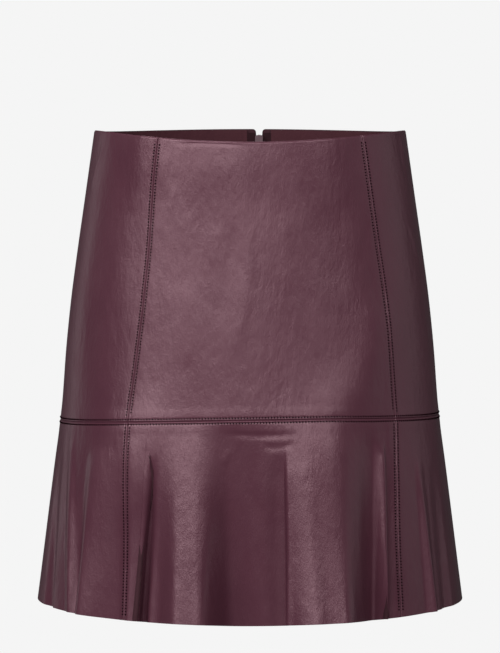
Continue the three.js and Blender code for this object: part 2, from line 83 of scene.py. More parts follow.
# Sections of the form: half width at the sides, half depth at the front and at the back
SECTIONS = rows(
    "z half_width front back",
    (-460, 197.6, 148.0, 162),
    (-423, 192.6, 144.0, 157),
    (-300, 176.8, 131.6, 141),
    (-258, 171.2, 127.2, 136),
    (-242, 169.6, 125.3, 135),
    (-197, 166.2, 120.3, 133),
    (-152, 161.6, 115.7, 130),
    (-107, 155.6, 111.4, 125),
    (-60, 148.8, 108.0, 117),
    (0, 140.2, 104.6, 105),
    (20, 137.3, 103.7, 102.5),
)

# Princess seams: the angle of the wearer's right and left seam by height
PRINCESS = rows(
    "z right left",
    (-440, -33.4, 42.6),
    (-360, -35.1, 44.3),
    (-300, -36.5, 46.4),
    (-253, -37.7, 48.1),
    (-200, -36.3, 47.7),
    (-150, -35.0, 47.3),
    (-100, -34.5, 46.1),
    (-50, -34.7, 45.1),
    (10, -33.8, 43.8),
)

# Soft folds of the flounce, from an angle at its seam to one at the hem. Each begins at a share
# of the drop and swells over the share ease; half widths to the right and left and the depth,
# outwards, are at the hem.
FOLDS = rows(
    "seam hem start right left out power ease",
    (-76, -68, 0.1, 14, 10, -4, 1, 0.1),
    (-66, -54, 0, 10, 9, 5, 0.9, 0),
    (-56, -52, 0.1, 9, 11, -2.6, 1, 0.1),
    (-50, -49, 0.1, 12, 36, 10, 0.9, 0.1),
    (-35.5, -32.4, 0.05, 12, 9, 3.6, 0.8, 0.1),
    (-19.6, -18, 0, 24, 17.2, 16, 1.15, 0),
    (-14.2, -12.6, 0, 17.2, 26, 16, 1.15, 0),
    (-6.5, -3.8, 0, 34, 50, -19, 1, 0),
    (18.8, 17.6, 0, 36, 17.2, 22, 1.2, 0),
    (24.2, 23, 0, 17.2, 30, 23.5, 1.2, 0),
    (38, 36, 0.05, 22, 5, -11, 0.9, 0.1),
    (57.4, 55.4, 0.15, 6, 10, 7, 0.9, 0.15),
    (67, 65, 0.2, 13, 13, -3.5, 1, 0.15),
    (106, 108, 0.05, 24, 26, 8, 1, 0.1),
    (121, 120, 0.08, 18, 20, -8, 0.9, 0.1),
    (134, 137, 0, 24, 20, 10, 1, 0),
    (149, 147.5, 0.15, 15, 16, -9, 0.8, 0.15),
    (163, 163, 0, 22, 28, 9, 1, 0),
    (184, 186, 0.1, 24, 20, -8, 1, 0.1),
    (199, 197, 0, 20, 26, 10, 0.9, 0),
    (214, 212, 0.12, 16, 15, -9, 0.8, 0.15),
    (229, 226, 0, 26, 23, 9, 1, 0),
    (242, 241, 0.1, 16, 20, -7.5, 1, 0.1),
    (254, 253, 0.05, 23, 20, 7, 1, 0.1),
)

# Folds that lap over their neighbour: the side in front, the step at the hem, the share of it by
# which the side behind sinks, and the widths over which both sides level out
LAPS = rows(
    "seam hem start front_side step sink fade back_fade power ease",
    (-29.4, -30, 0.14, -1, 12, 0.8, 14, 7, 0.5, 0.2),
    (10.6, 9.4, 0.1, 1, 11, 0.6, 30, 20, 0.6, 0.2),
    (43, 37.4, 0.1, -1, 9, 0.3, 4, 10, 0.6, 0.15),
)
LAP = dict(zone=7, lip_radius=2.2, root_radius=1.7, turn=104)

# Creases and soft ridges: from one angle and height to another, how far the middle lies
# off the straight line (positive is to the wearer's left), height outwards and half width.
# They fade over a share of their length at each end.
CREASE_FADE = 0.3
CREASES = rows(
    "angle z to_angle to_z bend out width",
    (-0.3, -73, -6.5, -212, 6, 0.55, 7),
    (-5.2, -76, -10.9, -180, 3, -0.45, 7),
    (-11.8, -82, -12.0, -126, 0, 0.3, 8),
    (-28.4, -14.7, 0.7, -16.7, 1, -0.3, 1.6),
    (-28.4, -28, -28.5, -51, 0.6, -0.3, 1.8),
    (-25.5, -49, -27.3, -77, -0.6, 0.35, 2.2),
    (-39.1, -26, -42.5, -77, 1, 0.25, 4),
    (-44.5, -70, -43.5, -150, 0, 0.2, 8),
    (-69.6, -27, -73.4, -54, 0, 0.5, 2.6),
    (-66.0, -14, -70.5, -36, 0, 0.35, 2.2),
    (65.8, -79, 74.5, -127, 2, 0.5, 3),
    (70.2, -4, 73.5, -27, 1, 0.5, 2.2),
    (67.5, -12, 71.5, -48, 0, -0.35, 2.4),
    (43.5, -137, 26.3, -262, 10, 2.2, 22),
    (11.9, -70, 11.8, -150, 0, 0.3, 6),
    (26, -55, 30, -150, 0, -0.4, 12),
    (-19, -130, -17, -215, -3, 0.4, 10),
    (-8.1, -264.6, 14.5, -265.4, -1, -0.55, 2.0),
    (3.4, -275.5, 13.2, -272.5, -2, -0.6, 2.2),
    (-5.6, -277, -7.8, -292, 0, 0.5, 2.5),
    (112, -40, 104, -150, 4, 0.6, 9),
    (140, -60, 128, -190, -6, -0.5, 8),
    (158, -210, 140, -250, 0, 0.7, 10),
    (-112, -30, -106, -140, -4, 0.6, 8),
    (-139, -90, -126, -215, 6, 0.5, 9),
    (-160, -215, -138, -252, 0, -0.6, 9),
)

# Broad swells: angle, height, half width, half length and how far they stand out
SWELLS = rows(
    "angle z wide tall out",
    (-33, -288, 30, 48, 4.3),
    (-46, -295, 26, 60, 2.4),
    (23, -285, 34, 60, 5.0),
    (22, -268, 30, 34, 1.4),
    (-40, -2, 17, 50, 2.6),
    (26, -8, 30, 60, 2.2),
    (-20, 4, 60, 60, 1.0),
    (-30.6, -36, 7, 20, 0.6),
    (-12, -38, 26, 18, 0.5),
    (4, -62, 16, 24, -0.5),
    (60, -190, 24, 50, -0.8),
    (-56, -150, 14, 60, -0.7),
    (150, -120, 30, 60, 1.0),
    (-150, -100, 34, 50, 0.9),
    (120, -230, 30, 30, 0.8),
)

# What the hem rises by for each mm that the flounce stands out
HEM_LIFT = 0.15

# Relief of a seam by the distance from it
ROLL = dict(depth=0.7, width=0.42)
PUFF = dict(height=0.14, place=1.2, width=0.6)
# The stitches are thick, so their near-black thread also carries the painted shade of the stitch
# holes.
STITCH = dict(offset=2.15, pitch=2.6, length=1.45, radius=0.72, dip=0.2, dip_width=0.6)
ALLOWANCE = dict(height=0.12, width=7.0, fade=5, plain=0.8)
FOLDED_EDGE = dict(depth=0.55, width=0.8)

# A stitch from end to end: place along it, share of its radius, and height above its dip
CAPSULE = rows(
    "place radius lift",
    (-1, 0.35, -0.42),
    (-0.72, 0.9, 0.02),
    (0, 1, 0.12),
    (0.72, 0.9, 0.02),
    (1, 0.35, -0.42),
)
THREAD_HEIGHT = -STITCH["dip"] + ALLOWANCE["height"] + 0.2
FLATNESS = 0.8
# Where a row of stitches starts and ends: shares of its seam, and of the pitch before the first
# and after the last stitch; the points along its path, and the steps that give its direction
ROW = dict(start=0.02, end=0.98, before=0.6, after=0.5, points=200, ring_points=1400,
           aside=0.4, aside_z=-200, down=0.002, ahead=0.5)
TUBE_SIDES = 6

# Distances from a seam at which the leather's grid has lines, and its spacing elsewhere
SEAM_LINES = [0, 0.3, 0.6, 0.9, 1.25, 1.6, 1.9, 2.15, 2.4, 2.8, 3.5, 4.8, 6.4, 8.0, 9.4, 10.8]
STEP = 2.1
LAP_LINES = 26


def table_curve(table, column, key="z"):
    """A curve through one column of a table that is sorted by its key, with no overshoot."""
    z, v = table[key], table[column]
    h = np.diff(z)
    slope = np.diff(v) / h
    tangent = np.zeros(len(z))
    tangent[0], tangent[-1] = slope[0], slope[-1]
    for i in range(1, len(z) - 1):
        if slope[i - 1] * slope[i] > 0:
            weighted = (2 * h[i] + h[i - 1]) / slope[i - 1] + (h[i] + 2 * h[i - 1]) / slope[i]
            tangent[i] = 3 * (h[i - 1] + h[i]) / weighted

    def at(x):
        x = np.clip(x, z[0], z[-1])
        i = np.clip(np.searchsorted(z, x, side="right") - 1, 0, len(z) - 2)
        t = (x - z[i]) / h[i]
        s = 1 - t
        start = v[i] * (1 + 2 * t) * s * s + h[i] * tangent[i] * t * s * s
        return start + v[i + 1] * t * t * (3 - 2 * t) - h[i] * tangent[i + 1] * t * t * s

    return at


half_width = table_curve(SECTIONS, "half_width")
front_depth = table_curve(SECTIONS, "front")
back_depth = table_curve(SECTIONS, "back")
right_princess = table_curve(PRINCESS, "right")
left_princess = table_curve(PRINCESS, "left")


def mix(a, b, t):
    """The value that lies a share t of the way from a to b."""
    return a + (b - a) * t


def smooth(x):
    """0 up to 0, 1 from 1 on, and a soft step between."""
    x = np.clip(x, 0, 1)
    return x * x * (3 - 2 * x)


def hump(x):
    """1 at 0, falling softly to 0 at -1 and 1."""
    return (1 + np.cos(np.pi * np.clip(x, -1, 1))) / 2


def bell(x):
    """1 at 0, fading out on both sides."""
    return np.exp(-x * x)


def ring(angle, z):
    """The ring of the form at one height: the point, the outward direction, mm per degree."""
    s, c = np.sin(np.radians(angle)), np.cos(np.radians(angle))
    wide = half_width(z)
    deep = np.where(c > 0, front_depth(z), back_depth(z))
    dx = wide * c
    dy = deep * (s + SQUARENESS * s * (s * s - 2 * c * c))
    speed = np.hypot(dx, dy)
    x, y = wide * s, -deep * c * (1 + SQUARENESS * s * s)
    return x, y, dy / speed, -dx / speed, np.radians(speed)


def per_degree(angle, z):
    """The length in mm of one degree along the ring."""
    return ring(angle, z)[4]


def form(angle, z, out=0.0):
    """Points of the form, moved outwards by a distance."""
    x, y, out_x, out_y, _ = ring(angle, z)
    return np.stack(np.broadcast_arrays(x + out_x * out, y + out_y * out, z), -1)


def level_height(level, angle):
    """Height of the waist or the hem at an angle."""
    c = np.cos(np.radians(angle))
    return level["side"] + np.where(c > 0, level["front"], level["back"]) * c * c


def seam_height(angle):
    """Height of the flounce seam at an angle."""
    s = np.sin(np.radians(angle))
    return FLOUNCE_SEAM["side"] + FLOUNCE_SEAM["tilt"] * s + FLOUNCE_SEAM["middle"] * (1 - s * s)


def waist_height(angle):
    """Height of the waist edge at an angle."""
    return level_height(WAIST, angle)


def hem_height(angle):
    """Height of the hem at an angle, before the folds lift it."""
    return level_height(HEM, angle)


def each(table):
    """The rows of a table, one dict after another."""
    for i in range(len(next(iter(table.values())))):
        yield {name: column[i] for name, column in table.items()}


def growth(fold, t):
    """How much of a fold's size at the hem it has at a share t of the drop."""
    x = np.clip((t - fold["start"]) / (1 - fold["start"]), 0, 1)
    return x ** fold["power"] * (smooth(x / fold["ease"]) if fold["ease"] else 1)


def turn_between(a, b):
    """The turn in degrees from one angle to another, the short way round."""
    return (b - a + 180) % 360 - 180


def track(fold, t):
    """The angle at which a fold lies at a share t of the drop."""
    return mix(fold["seam"], fold["hem"], t)


def lap_at(lap, w, t):
    """Shift along the ring and step outwards of a lap at a distance w from its line."""
    g = growth(lap, t)
    along = w * lap["front_side"]
    rise = lap["step"] * g
    half = LAP["zone"] / 2
    turn = np.radians(LAP["turn"]) * np.sqrt(np.maximum(g, 1e-6))
    lip, root = LAP["lip_radius"], LAP["root_radius"]
    radii = lip + root
    straight = np.maximum(0, (rise - radii * (1 - np.cos(turn))) / np.sin(turn))
    pad = (LAP["zone"] - radii * np.sin(turn) - straight * np.cos(turn)) / 2
    walked = np.clip((along + half) / LAP["zone"], 0, 1) * (2 * pad + radii * turn + straight)
    first = np.minimum(walked, pad)
    rest = walked - first
    arc = np.minimum(rest, root * turn) / root
    rest = rest - arc * root
    flank = np.minimum(rest, straight)
    rest = rest - flank
    bend = np.minimum(rest, lip * turn) / lip
    rest = rest - bend * lip
    x = first + root * np.sin(arc) + flank * np.cos(turn)
    x = x + lip * (np.sin(turn) - np.sin(turn - bend)) + rest - half
    out = root * (1 - np.cos(arc)) + flank * np.sin(turn)
    out = out + lip * (np.cos(turn - bend) - np.cos(turn))
    in_zone = (np.abs(along) < half) & (g > 0)
    low = -lap["sink"] * rise
    front = (rise + low) * hump((along - half) / lap["fade"])
    back = low * hump((along + half) / lap["back_fade"])
    return (np.where(in_zone, (x - along) * lap["front_side"], 0),
            np.where(in_zone, out + low, np.where(along > 0, front, back)))


def swell(angle, z):
    """How far creases and swells stand out at each point."""
    out = np.zeros_like(z)
    for c in each(CREASES):
        scale = per_degree((c["angle"] + c["to_angle"]) / 2, (c["z"] + c["to_z"]) / 2)
        along_x, along_z = (c["to_angle"] - c["angle"]) * scale, c["to_z"] - c["z"]
        length = math.hypot(along_x, along_z)
        x, y = turn_between(c["angle"], angle) * scale, z - c["z"]
        u = (x * along_x + y * along_z) / length ** 2
        side = (y * along_x - x * along_z) / length
        bow = 4 * c["bend"] * u * (1 - u)
        ends = smooth(u / CREASE_FADE) * smooth((1 - u) / CREASE_FADE)
        out += c["out"] * bell((side - bow) / c["width"]) * ends
    for b in each(SWELLS):
        x = turn_between(b["angle"], angle) * per_degree(b["angle"], b["z"]) / b["wide"]
        out += b["out"] * bell(np.hypot(x, (z - b["z"]) / b["tall"]))
    return out


def flounce_face(angle, t):
    """Points of the flounce's outer face at angles and shares t of its drop."""
    z = mix(seam_height(angle) - SEAM_GAP / 2, hem_height(angle), t)
    scale = per_degree(angle, z)
    out = np.zeros_like(z)
    shift = np.zeros_like(z)
    for fold in each(FOLDS):
        w = turn_between(track(fold, t), angle) * scale
        width = np.where(w < 0, fold["right"], fold["left"])
        out += fold["out"] * growth(fold, t) * hump(w / width)
    for lap in each(LAPS):
        moved_by, step = lap_at(lap, turn_between(track(lap, t), angle) * scale, t)
        out += step
        shift += moved_by
    return form(angle + shift / scale, z + HEM_LIFT * out * t, out)


def body_face(angle, t):
    """Points of the body's outer face at angles and shares t of the way down to the seam."""
    return form(angle, mix(waist_height(angle), seam_height(angle) + SEAM_GAP / 2, t))


def normals_of(points):
    """Outward normals of a grid of points, rows downwards and columns towards +angle."""
    down = np.gradient(points, axis=0)
    across = np.gradient(points, axis=1)
    normal = np.cross(down, across)
    return normal / np.linalg.norm(normal, axis=-1, keepdims=True)


def side_edge(sign):
    """The angle of a side seam at each height."""
    return lambda z: np.full_like(np.asarray(z, float), sign * SIDE_SEAM)


def back_edge(z):
    """The angle of the zip's line at each height."""
    return 180 - np.degrees(np.arcsin(ZIP["x"] / half_width(z)))


EDGES = dict(
    right_side=side_edge(-1),
    right_princess=right_princess,
    left_princess=left_princess,
    left_side=side_edge(1),
    back=back_edge,
    back_from_right=lambda z: back_edge(z) - 360,
)


def moved(edge, z, distance):
    """An edge's angle, moved by a distance in mm along its ring."""
    return edge(z) + distance / per_degree(edge(z), z)


def body_middle(t):
    """The height at the sides at a share t of the way from the waist to the flounce seam."""
    return mix(WAIST["side"], FLOUNCE_SEAM["side"], t)


def flounce_middle(t):
    """The height at the sides at a share t of the way from the flounce seam to the hem."""
    return mix(FLOUNCE_SEAM["side"], HEM["side"], t)


def splay(z):
    """Half of the opening between the back edges, widest in the notch above the zip."""
    down = np.clip((WAIST["back"] - z) / NOTCH["depth"], 0, 1)
    return SEAM_GAP / 2 + NOTCH["half_width"] * (1 - smooth(down))


def lines_between(length, fine_start, fine_end):
    """Shares of a length at which the grid has lines, with fine lines near a seam."""
    start = np.array(SEAM_LINES if fine_start else [0.0])
    end = length - np.array((SEAM_LINES if fine_end else [0.0])[::-1])
    count = max(2, round((end[0] - start[-1]) / STEP))
    middle = np.linspace(start[-1], end[0], count + 1)[1:-1]
    return np.concatenate([start, middle, end]) / length


def roll_and_allowance(distance):
    """What a seam's rolled edge takes from the leather's height, and its allowance adds."""
    roll = -ROLL["depth"] * bell(distance / ROLL["width"])
    past = (distance - ALLOWANCE["width"]) / ALLOWANCE["fade"]
    return roll, ALLOWANCE["height"] * (1 - smooth(past))


def seam_relief(distance):
    """Height of the leather's outer face by its distance from a stitched seam."""
    roll, allowance = roll_and_allowance(distance)
    puff = PUFF["height"] * bell((distance - PUFF["place"]) / PUFF["width"])
    dip = -STITCH["dip"] * bell((distance - STITCH["offset"]) / STITCH["dip_width"])
    return roll + puff + dip + allowance


def plain_relief(distance):
    """Height of the leather near a seam that is sewn without top stitching."""
    roll, allowance = roll_and_allowance(distance)
    return roll + ALLOWANCE["plain"] * allowance


def edge_relief(distance):
    """Height of the leather near a folded edge."""
    return -FOLDED_EDGE["depth"] * bell(distance / FOLDED_EDGE["width"])


def cut_relief(distance):
    """A cut edge stays flat."""
    return 0 * distance


def add_object(name, mesh):
    """Puts a mesh, lamp or camera in the scene under its name."""
    made = bpy.data.objects.new(name, mesh)
    bpy.context.scene.collection.objects.link(made)
    return made


def declare(piece, body, nodes):
    """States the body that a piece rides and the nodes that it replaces."""
    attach(piece, body)
    if nodes:
        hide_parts(*nodes)


def mesh_piece(name, points, quads, material):
    """A mesh object in metres from points in mm and faces of four corners."""
    mesh = bpy.data.meshes.new(name)
    mesh.vertices.add(len(points))
    mesh.vertices.foreach_set("co", (np.asarray(points) * MM).astype(np.float32).ravel())
    mesh.loops.add(4 * len(quads))
    mesh.loops.foreach_set("vertex_index", np.asarray(quads, np.int32).ravel())
    mesh.polygons.add(len(quads))
    mesh.polygons.foreach_set("loop_start", np.arange(0, 4 * len(quads), 4, dtype=np.int32))
    mesh.update(calc_edges=True)
    mesh.validate()
    mesh.polygons.foreach_set("use_smooth", np.full(len(mesh.polygons), True))
    mesh.materials.append(material)
    return add_object(name, mesh)


def wall_faces(row_count, column_count):
    """Quads of a closed wall between two grids: the two large faces, then the four rims."""
    outer, inner = np.arange(2 * row_count * column_count).reshape(2, row_count, column_count)

    def quads(a, b, c, d):
        return np.stack([x.ravel() for x in (a, b, c, d)], -1)

    return [
        quads(outer[:-1, :-1], outer[1:, :-1], outer[1:, 1:], outer[:-1, 1:]),
        quads(inner[:-1, :-1], inner[:-1, 1:], inner[1:, 1:], inner[1:, :-1]),
        quads(outer[0, :-1], outer[0, 1:], inner[0, 1:], inner[0, :-1]),
        quads(outer[-1, 1:], outer[-1, :-1], inner[-1, :-1], inner[-1, 1:]),
        quads(outer[1:, 0], outer[:-1, 0], inner[:-1, 0], inner[1:, 0]),
        quads(outer[:-1, -1], outer[1:, -1], inner[1:, -1], inner[:-1, -1]),
    ]


def sharpen_rims(mesh, large):
    """Marks the edges between a wall's large faces and its rims as sharp."""
    rim = np.arange(len(mesh.polygons)) >= large
    seen = np.zeros((len(mesh.edges), 2), bool)
    edge_of_loop = np.zeros(len(mesh.loops), np.int32)
    mesh.loops.foreach_get("edge_index", edge_of_loop)
    kind = np.repeat(rim, 4)
    seen[edge_of_loop[kind], 1] = True
    seen[edge_of_loop[~kind], 0] = True
    sharp = mesh.attributes.new("sharp_edge", "BOOLEAN", "EDGE")
    sharp.data.foreach_set("value", seen.all(axis=1))


def leather_wall(name, outer, inner, material, inside_material=None):
    """A closed leather wall between two grids of points."""
    faces = wall_faces(*outer.shape[:2])
    shown, large = len(faces[0]), len(faces[0]) + len(faces[1])
    points = np.concatenate([outer.reshape(-1, 3), inner.reshape(-1, 3)])
    piece = mesh_piece(name, points, np.concatenate(faces), material)
    sharpen_rims(piece.data, large)
    if inside_material:
        piece.data.materials.append(inside_material)
        slots = np.zeros(len(piece.data.polygons), np.int32)
        slots[shown:large] = 1
        piece.data.polygons.foreach_set("material_index", slots)
    return piece


def panel(node, face, tracks, lines, down, reliefs):
    """One leather panel. tracks are angles by t and lines the shares between them; down holds
    the shares t; reliefs are the seam profiles at its start, end, top and bottom."""
    angles = []
    for k, shares in enumerate(lines):
        a, b = tracks[k](down), tracks[k + 1](down)
        use = shares if k == len(lines) - 1 else shares[:-1]
        angles.append(a[:, None] + (b - a)[:, None] * use[None, :])
    angle = np.concatenate(angles, axis=1)
    t = np.broadcast_to(down[:, None], angle.shape).copy()
    shown = face(angle, t)
    z = shown[..., 2].copy()
    scale = per_degree(angle, z)
    to_start = (angle - angle[:, :1]) * scale
    to_end = (angle[:, -1:] - angle) * scale
    length = np.abs(z[-1] - z[0])[None, :] * SLANT
    start, end, top, bottom = reliefs
    normal = normals_of(shown)
    shown = shown + normal * swell(angle, z)[..., None]
    normal = normals_of(shown)
    relief = start(to_start) + end(to_end) + top(t * length) + bottom((1 - t) * length)
    outer = shown + normal * np.maximum(relief, DEEPEST_RELIEF)[..., None]
    inner = shown - normal * WALL
    piece = leather_wall("leather_" + node, outer, inner, LEATHER, FLESH)
    declare(piece, "skirt", [node])


# Camera: straight in front, a little above the middle of the skirt
CAMERA = dict(distance=2.5, height=-0.08, aim=-0.177, mm_per_pixel=0.905, near=0.05, far=40)
PICTURE_HEIGHT = 653
SENSOR = 36.0


def make_camera():
    """The camera, with the lens that gives the picture its scale at the skirt."""
    camera = add_object("camera", bpy.data.cameras.new("camera"))
    camera.location = (0, -CAMERA["distance"], CAMERA["height"])
    aim = Vector((0, 0, CAMERA["aim"]))
    camera.rotation_euler = (aim - camera.location).to_track_quat("-Z", "Y").to_euler()
    reach = (aim - camera.location).length
    pixels = reach / (CAMERA["mm_per_pixel"] * MM)
    camera.data.sensor_width = SENSOR
    camera.data.lens = SENSOR * pixels / PICTURE_HEIGHT
    camera.data.clip_start, camera.data.clip_end = CAMERA["near"], CAMERA["far"]
    bpy.context.scene.camera = camera


make_camera()


def new_material(name):
    """A new material with its node tree and its shader."""
    material = bpy.data.materials.new(name)
    material.use_nodes = True
    tree = material.node_tree
    return material, tree, tree.nodes["Principled BSDF"]


def shader_node(tree, kind, **settings):
    """A new shader node, with its inputs or properties set by name."""
    made = tree.nodes.new(kind)
    for key, value in settings.items():
        if key in made.inputs:
            made.inputs[key].default_value = value
        else:
            setattr(made, key, value)
    return made


def ramp(tree, factor, low, high, colours):
    """A colour ramp with two stops."""
    made = tree.nodes.new("ShaderNodeValToRGB")
    made.color_ramp.elements[0].position = low
    made.color_ramp.elements[1].position = high
    for stop, colour in zip(made.color_ramp.elements, colours):
        stop.color = (*colour, 1)
    tree.links.new(factor, made.inputs["Fac"])
    return made.outputs["Color"]


def leather_material(name, light, dark, roughness, grain, shine, gleam=0.5):
    """Smooth nappa: mottled colour and gloss, a fine pebbled grain and faint pores."""
    material, tree, shader = new_material(name)
    place = shader_node(tree, "ShaderNodeTexCoord").outputs["Object"]

    def noise(scale, detail, rough):
        return shader_node(tree, "ShaderNodeTexNoise", Scale=scale, Detail=detail, Roughness=rough)

    cloud, speck = noise(16.0, 3.0, 0.55), noise(420.0, 4.0, 0.6)
    wrinkle, patch = noise(210.0, 4.0, 0.6), noise(48.0, 2.5, 0.5)
    pebble = shader_node(tree, "ShaderNodeTexVoronoi", Scale=850.0, feature="SMOOTH_F1",
                         Smoothness=0.6)
    for texture in (cloud, speck, pebble):
        tree.links.new(place, texture.inputs["Vector"])
    stretched = shader_node(tree, "ShaderNodeMapping", Scale=(1, 1, 0.4))
    tree.links.new(place, stretched.inputs["Vector"])
    for texture in (patch, wrinkle):
        tree.links.new(stretched.outputs["Vector"], texture.inputs["Vector"])
    colour = ramp(tree, cloud.outputs["Fac"], 0.1, 0.9, (dark, light))
    tree.links.new(colour, shader.inputs["Base Color"])
    gloss = shader_node(tree, "ShaderNodeMapRange", **{
        "From Min": 0.8, "From Max": 1.5, "To Min": roughness - 0.04, "To Max": roughness + 0.12})
    mottle = shader_node(tree, "ShaderNodeMath", operation="ADD")
    tree.links.new(cloud.outputs["Fac"], mottle.inputs[0])
    tree.links.new(patch.outputs["Fac"], mottle.inputs[1])
    tree.links.new(mottle.outputs["Value"], gloss.inputs["Value"])
    tree.links.new(gloss.outputs["Result"], shader.inputs["Roughness"])
    # Each texture with its output, its height in metres and its strength
    bump_in = None
    for texture, output, distance, strength in (
        (patch, "Fac", 0.002, 0.6 * grain),
        (wrinkle, "Fac", 0.0006, grain),
        (pebble, "Distance", 0.00016, 0.5 * grain),
        (speck, "Fac", 0.00005, 0.5 * grain),
    ):
        bump = shader_node(tree, "ShaderNodeBump", Strength=strength, Distance=distance)
        tree.links.new(texture.outputs[output], bump.inputs["Height"])
        if bump_in:
            tree.links.new(bump_in, bump.inputs["Normal"])
        bump_in = bump.outputs["Normal"]
    tree.links.new(bump_in, shader.inputs["Normal"])
    shader.inputs["Specular Tint"].default_value = (*shine, 1)
    shader.inputs["Specular IOR Level"].default_value = gleam
    return material


LEATHER = leather_material(
    "leather", light=(0.071, 0.023, 0.035), dark=(0.060, 0.019, 0.030),
    roughness=0.32, grain=0.6, shine=(1, 0.68, 0.75))
FLESH = leather_material(
    "leather_inside", light=(0.040, 0.015, 0.020), dark=(0.030, 0.011, 0.015),
    roughness=0.85, grain=1.6, shine=(1, 0.7, 0.75), gleam=0.2)
FACING_LEATHER = leather_material(
    "facing_leather", light=(0.052, 0.017, 0.022), dark=(0.038, 0.011, 0.016),
    roughness=0.7, grain=1.0, shine=(1, 0.6, 0.65), gleam=0.2)


def plain_material(name, colour, roughness, metal=0.0, gleam=0.5):
    """Thread, tape, nylon or metal, with a fine mottle of its colour."""
    material, tree, shader = new_material(name)
    place = shader_node(tree, "ShaderNodeTexCoord").outputs["Object"]
    cloud = shader_node(tree, "ShaderNodeTexNoise", Scale=300.0, Detail=3.0)
    tree.links.new(place, cloud.inputs["Vector"])
    darker = tuple(0.8 * c for c in colour)
    mottled = ramp(tree, cloud.outputs["Fac"], 0.3, 0.7, (darker, colour))
    tree.links.new(mottled, shader.inputs["Base Color"])
    shader.inputs["Roughness"].default_value = roughness
    shader.inputs["Metallic"].default_value = metal
    shader.inputs["Specular IOR Level"].default_value = gleam
    return material


# The thread is near black. Its colour is partly the thread's own dark burgundy and partly painted
# shade for the shadows in the stitch holes.
THREAD_AND_HOLE_SHADE = plain_material("thread_and_hole_shade", (0.006, 0.001, 0.002), 0.8, gleam=0.02)
TAPE = plain_material("zip_tape", (0.024, 0.008, 0.011), 0.9, gleam=0.1)
TEETH = plain_material("zip_teeth", (0.05, 0.022, 0.028), 0.4)
ZIP_METAL = plain_material("zip_metal", (0.16, 0.10, 0.115), 0.35, 0.3)


def lap_tracks(first, last):
    """Tracks and grid lines of a flounce panel, with the zones of the laps inside it."""
    tracks, lines = [first], []
    fine_start = True
    for lap in each(LAPS):
        if lap["hem"] < first(np.array([1.0]))[0] or lap["hem"] > last(np.array([1.0]))[0]:
            continue

        def bound(side, lap=lap):
            def at(t):
                angle = track(lap, t)
                return angle + side * LAP["zone"] / 2 / per_degree(angle, flounce_middle(t))
            return at

        before, after = bound(-1), bound(1)
        lines.append(lines_between(span(tracks[-1], before, HEM["side"]), fine_start, False))
        lines.append(np.linspace(0, 1, LAP_LINES + 1))
        tracks += [before, after]
        fine_start = False
    lines.append(lines_between(span(tracks[-1], last, HEM["side"]), fine_start, True))
    tracks.append(last)
    return tracks, lines


def span(a, b, z):
    """The distance in mm between two tracks at the lower edge of a panel."""
    low = np.array([1.0])
    return float((b(low) - a(low))[0] * per_degree((a(low) + b(low))[0] / 2, z))


def flounce_panel(node, from_edge, to_edge, start, end):
    """A panel of the flounce between two edges, with the seam profiles at its start and end."""
    first = lambda t: moved(EDGES[from_edge], flounce_middle(t), SEAM_GAP / 2)
    last = lambda t: moved(EDGES[to_edge], flounce_middle(t), -SEAM_GAP / 2)
    tracks, lines = lap_tracks(first, last)
    down = lines_between(FLOUNCE_SEAM["side"] - HEM["side"], True, False)
    reliefs = (start, end, seam_relief, cut_relief)
    panel(node, flounce_face, tracks, lines, down, reliefs)


def front_panel(node, from_edge, to_edge, start, end):
    """A front panel of the body between two edges, with the seam profiles at both."""
    first = lambda t: moved(EDGES[from_edge], body_middle(t), SEAM_GAP / 2)
    last = lambda t: moved(EDGES[to_edge], body_middle(t), -SEAM_GAP / 2)
    lines = [lines_between(span(first, last, FLOUNCE_SEAM["side"]), True, True)]
    down = lines_between(WAIST["side"] - FLOUNCE_SEAM["side"], True, True)
    reliefs = (start, end, edge_relief, seam_relief)
    panel(node, body_face, [first, last], lines, down, reliefs)


def back_panel(node, side):
    """A back panel of the body; side is 1 for the wearer's left one and -1 for the right one."""
    seam = EDGES["left_side" if side > 0 else "right_side"]
    centre = EDGES["back" if side > 0 else "back_from_right"]
    radius = NOTCH["ear_radius"]

    def side_track(t):
        return moved(seam, body_middle(t), side * SEAM_GAP / 2)

    def zip_track(t):
        z = mix(WAIST["back"], FLOUNCE_SEAM["side"], t)
        return moved(centre, z, -side * splay(z))

    def face(angle, t):
        distance = np.abs(zip_track(t) - angle) * per_degree(angle, WAIST["back"])
        inset = np.clip(radius - distance, 0, radius)
        drop = radius - np.sqrt(radius * radius - inset * inset)
        top = waist_height(angle) - drop * (1 - t) ** NOTCH["ear_fade"]
        return form(angle, mix(top, seam_height(angle) + SEAM_GAP / 2, t))

    tracks = [side_track, zip_track] if side > 0 else [zip_track, side_track]
    lines = [lines_between(span(*tracks, FLOUNCE_SEAM["side"]), True, True)]
    down = lines_between(WAIST["side"] - FLOUNCE_SEAM["side"], True, True)
    ends = (plain_relief, edge_relief) if side > 0 else (edge_relief, plain_relief)
    reliefs = (*ends, edge_relief, seam_relief)
    panel(node, face, tracks, lines, down, reliefs)


front_panel("front_side_right", "right_side", "right_princess", plain_relief, seam_relief)
front_panel("front_centre", "right_princess", "left_princess", seam_relief, seam_relief)
front_panel("front_side_left", "left_princess", "left_side", seam_relief, plain_relief)
back_panel("back_left", 1)
back_panel("back_right", -1)
flounce_panel("flounce_front_side_right", "right_side", "right_princess", plain_relief, seam_relief)
flounce_panel("flounce_front_centre", "right_princess", "left_princess", seam_relief, seam_relief)
flounce_panel("flounce_front_side_left", "left_princess", "left_side", seam_relief, plain_relief)
flounce_panel("flounce_back_left", "left_side", "back", plain_relief, plain_relief)
flounce_panel("flounce_back_right", "back_from_right", "right_side", plain_relief, plain_relief)


